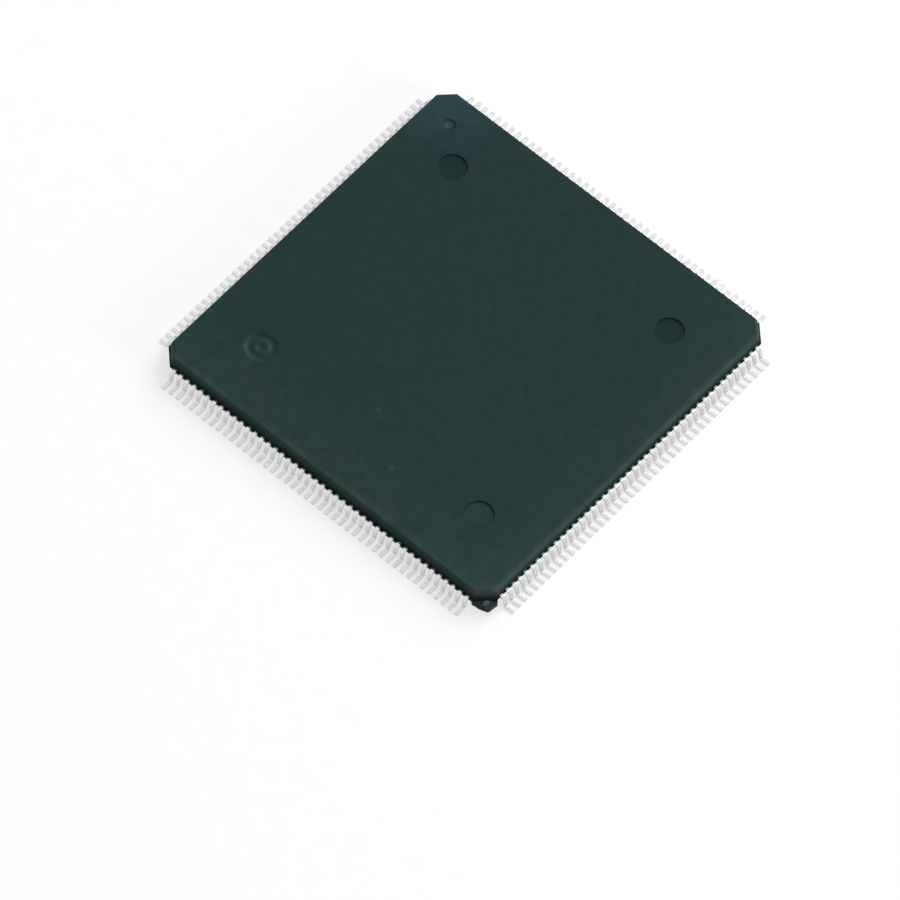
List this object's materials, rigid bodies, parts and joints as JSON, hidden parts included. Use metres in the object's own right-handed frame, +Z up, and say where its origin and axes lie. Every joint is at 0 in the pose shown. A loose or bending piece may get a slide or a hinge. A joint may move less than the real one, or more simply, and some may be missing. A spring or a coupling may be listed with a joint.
{
  "type": "microcontroller chip",
  "caption": "Thin square plastic microcontroller package with gull-wing leads along every side, chamfered corners and an index dimple, for soldering onto a circuit board.",
  "frame": {"origin": "centre of the package, on the seating plane that the lead feet rest on", "axes": "+Z up, out of the top of the body; +X and +Y along its sides; lead 1 is next to the (-X, +Y) corner"},
  "size_m": [0.026, 0.026, 0.0015],
  "materials": {
    "mould_compound": "fine matt, as left by a spark-eroded mould",
    "tin_plate": "matt tin plating over copper alloy",
    "copper_alloy": "rolled copper alloy sheet",
    "polyimide_tape": "smooth amber film",
    "attach_paste": "cured silver-filled paste",
    "silicon": "polished silicon",
    "gold_wire": "drawn gold wire"
  },
  "bodies": {
    "root": {"mould_body": "mould_compound", "leads_front": "tin_plate", "leads_right": "tin_plate", "leads_rear": "tin_plate", "leads_left": "tin_plate", "die_paddle": "copper_alloy", "lead_tape": "polyimide_tape", "die_attach": "attach_paste", "die": "silicon", "bond_wires_front": "gold_wire", "bond_wires_right": "gold_wire", "bond_wires_rear": "gold_wire", "bond_wires_left": "gold_wire"}
  },
  "joints": []
}
